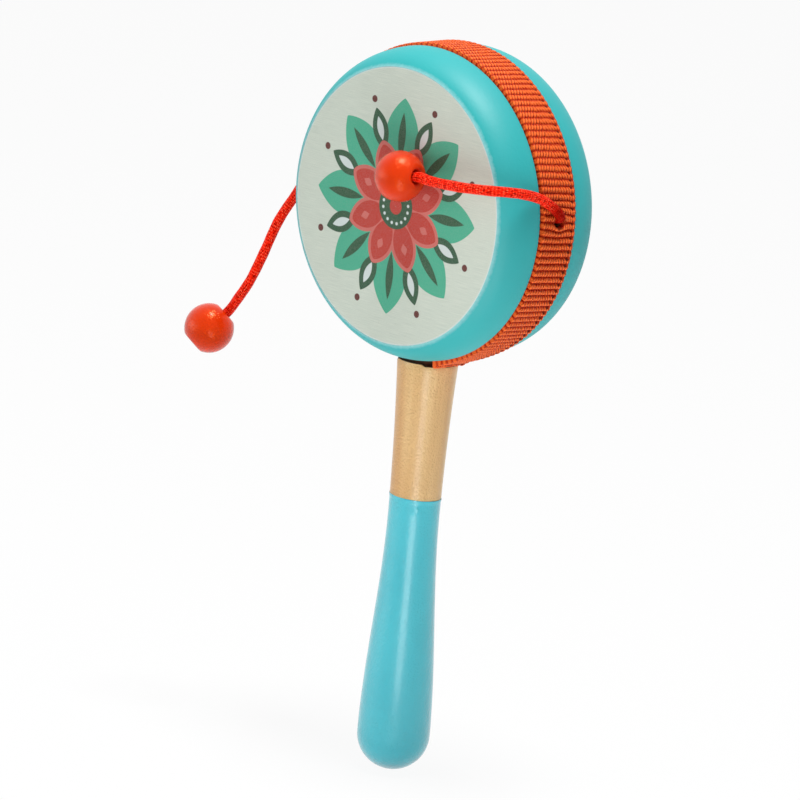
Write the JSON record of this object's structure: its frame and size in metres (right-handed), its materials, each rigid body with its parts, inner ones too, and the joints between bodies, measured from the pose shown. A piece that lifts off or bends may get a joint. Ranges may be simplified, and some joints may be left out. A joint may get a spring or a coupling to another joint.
{
  "type": "pellet drum rattle",
  "caption": "Small round wooden drum on a turned handle, with a bead on a cord at each side that swings round to tap the printed faces.",
  "frame": {"origin": "centre of the grip on the handle's axis, 127 mm below the drum's centre", "axes": "+Z along the handle towards the drum, -Y out of the front face, +X towards the cord whose bead rests on the front face"},
  "size_m": [0.1305, 0.0528, 0.2124],
  "materials": {
    "turquoise_paint": "satin turquoise paint on turned wood",
    "printed_face": "matt pale grey-beige ground with a flat folk-style print",
    "webbing": "ribbed woven webbing",
    "bare_wood": "pale beech, clear satin",
    "dip_paint": "satin turquoise dip coat on wood",
    "satin_cord": "glossy woven satin cord",
    "bead_lacquer": "gloss lacquer on turned wood"
  },
  "bodies": {
    "drum": {"front_shell": "turquoise_paint", "back_shell": "turquoise_paint", "front_print": "printed_face", "back_print": "printed_face", "webbing_band": "webbing", "handle": "bare_wood", "grip_paint": "dip_paint", "cord_inside": "satin_cord"},
    "right_cord_near": {"right_cord_inner": "satin_cord"},
    "right_cord_far": {"right_cord_outer": "satin_cord", "right_knot": "satin_cord"},
    "right_pellet": {"right_bead": "bead_lacquer"},
    "left_cord_near": {"left_cord_inner": "satin_cord"},
    "left_cord_far": {"left_cord_outer": "satin_cord", "left_knot": "satin_cord"},
    "left_pellet": {"left_bead": "bead_lacquer"}
  },
  "joints": [
    {"name": "right_swing", "type": "hinge", "parent": "drum", "child": "right_cord_near", "pos_m": [0.0468, 0, 0.1302], "axis": [0, 0, 1], "range_deg": [0, 192]},
    {"name": "right_curl", "type": "hinge", "parent": "right_cord_near", "child": "right_cord_far", "pos_m": [0.0445, -0.0225, 0.14], "axis": [0, 0, 1], "range_deg": [0, 153.7]},
    {"name": "right_bead_spin", "type": "hinge", "parent": "right_cord_far", "child": "right_pellet", "pos_m": [0.0079, -0.0266, 0.1378], "axis": [0.9871, 0.065, 0.146], "continuous": true},
    {"name": "left_swing", "type": "hinge", "parent": "drum", "child": "left_cord_near", "pos_m": [-0.0468, 0, 0.1302], "axis": [-0.3746, 0, 0.9272], "range_deg": [-81, 61.5]},
    {"name": "left_curl", "type": "hinge", "parent": "left_cord_near", "child": "left_cord_far", "pos_m": [-0.0626, -0.0043, 0.1046], "axis": [-0.3746, 0, 0.9272], "range_deg": [-113.5, 86.2]},
    {"name": "left_bead_spin", "type": "hinge", "parent": "left_cord_far", "child": "left_pellet", "pos_m": [-0.0751, -0.014, 0.0753], "axis": [0.392, 0.591, 0.705], "continuous": true}
  ],
  "couplings": [
    {"joint": "right_curl", "follows": "right_swing", "ratio": 0.8},
    {"joint": "left_curl", "follows": "left_swing", "ratio": 1.4}
  ]
}
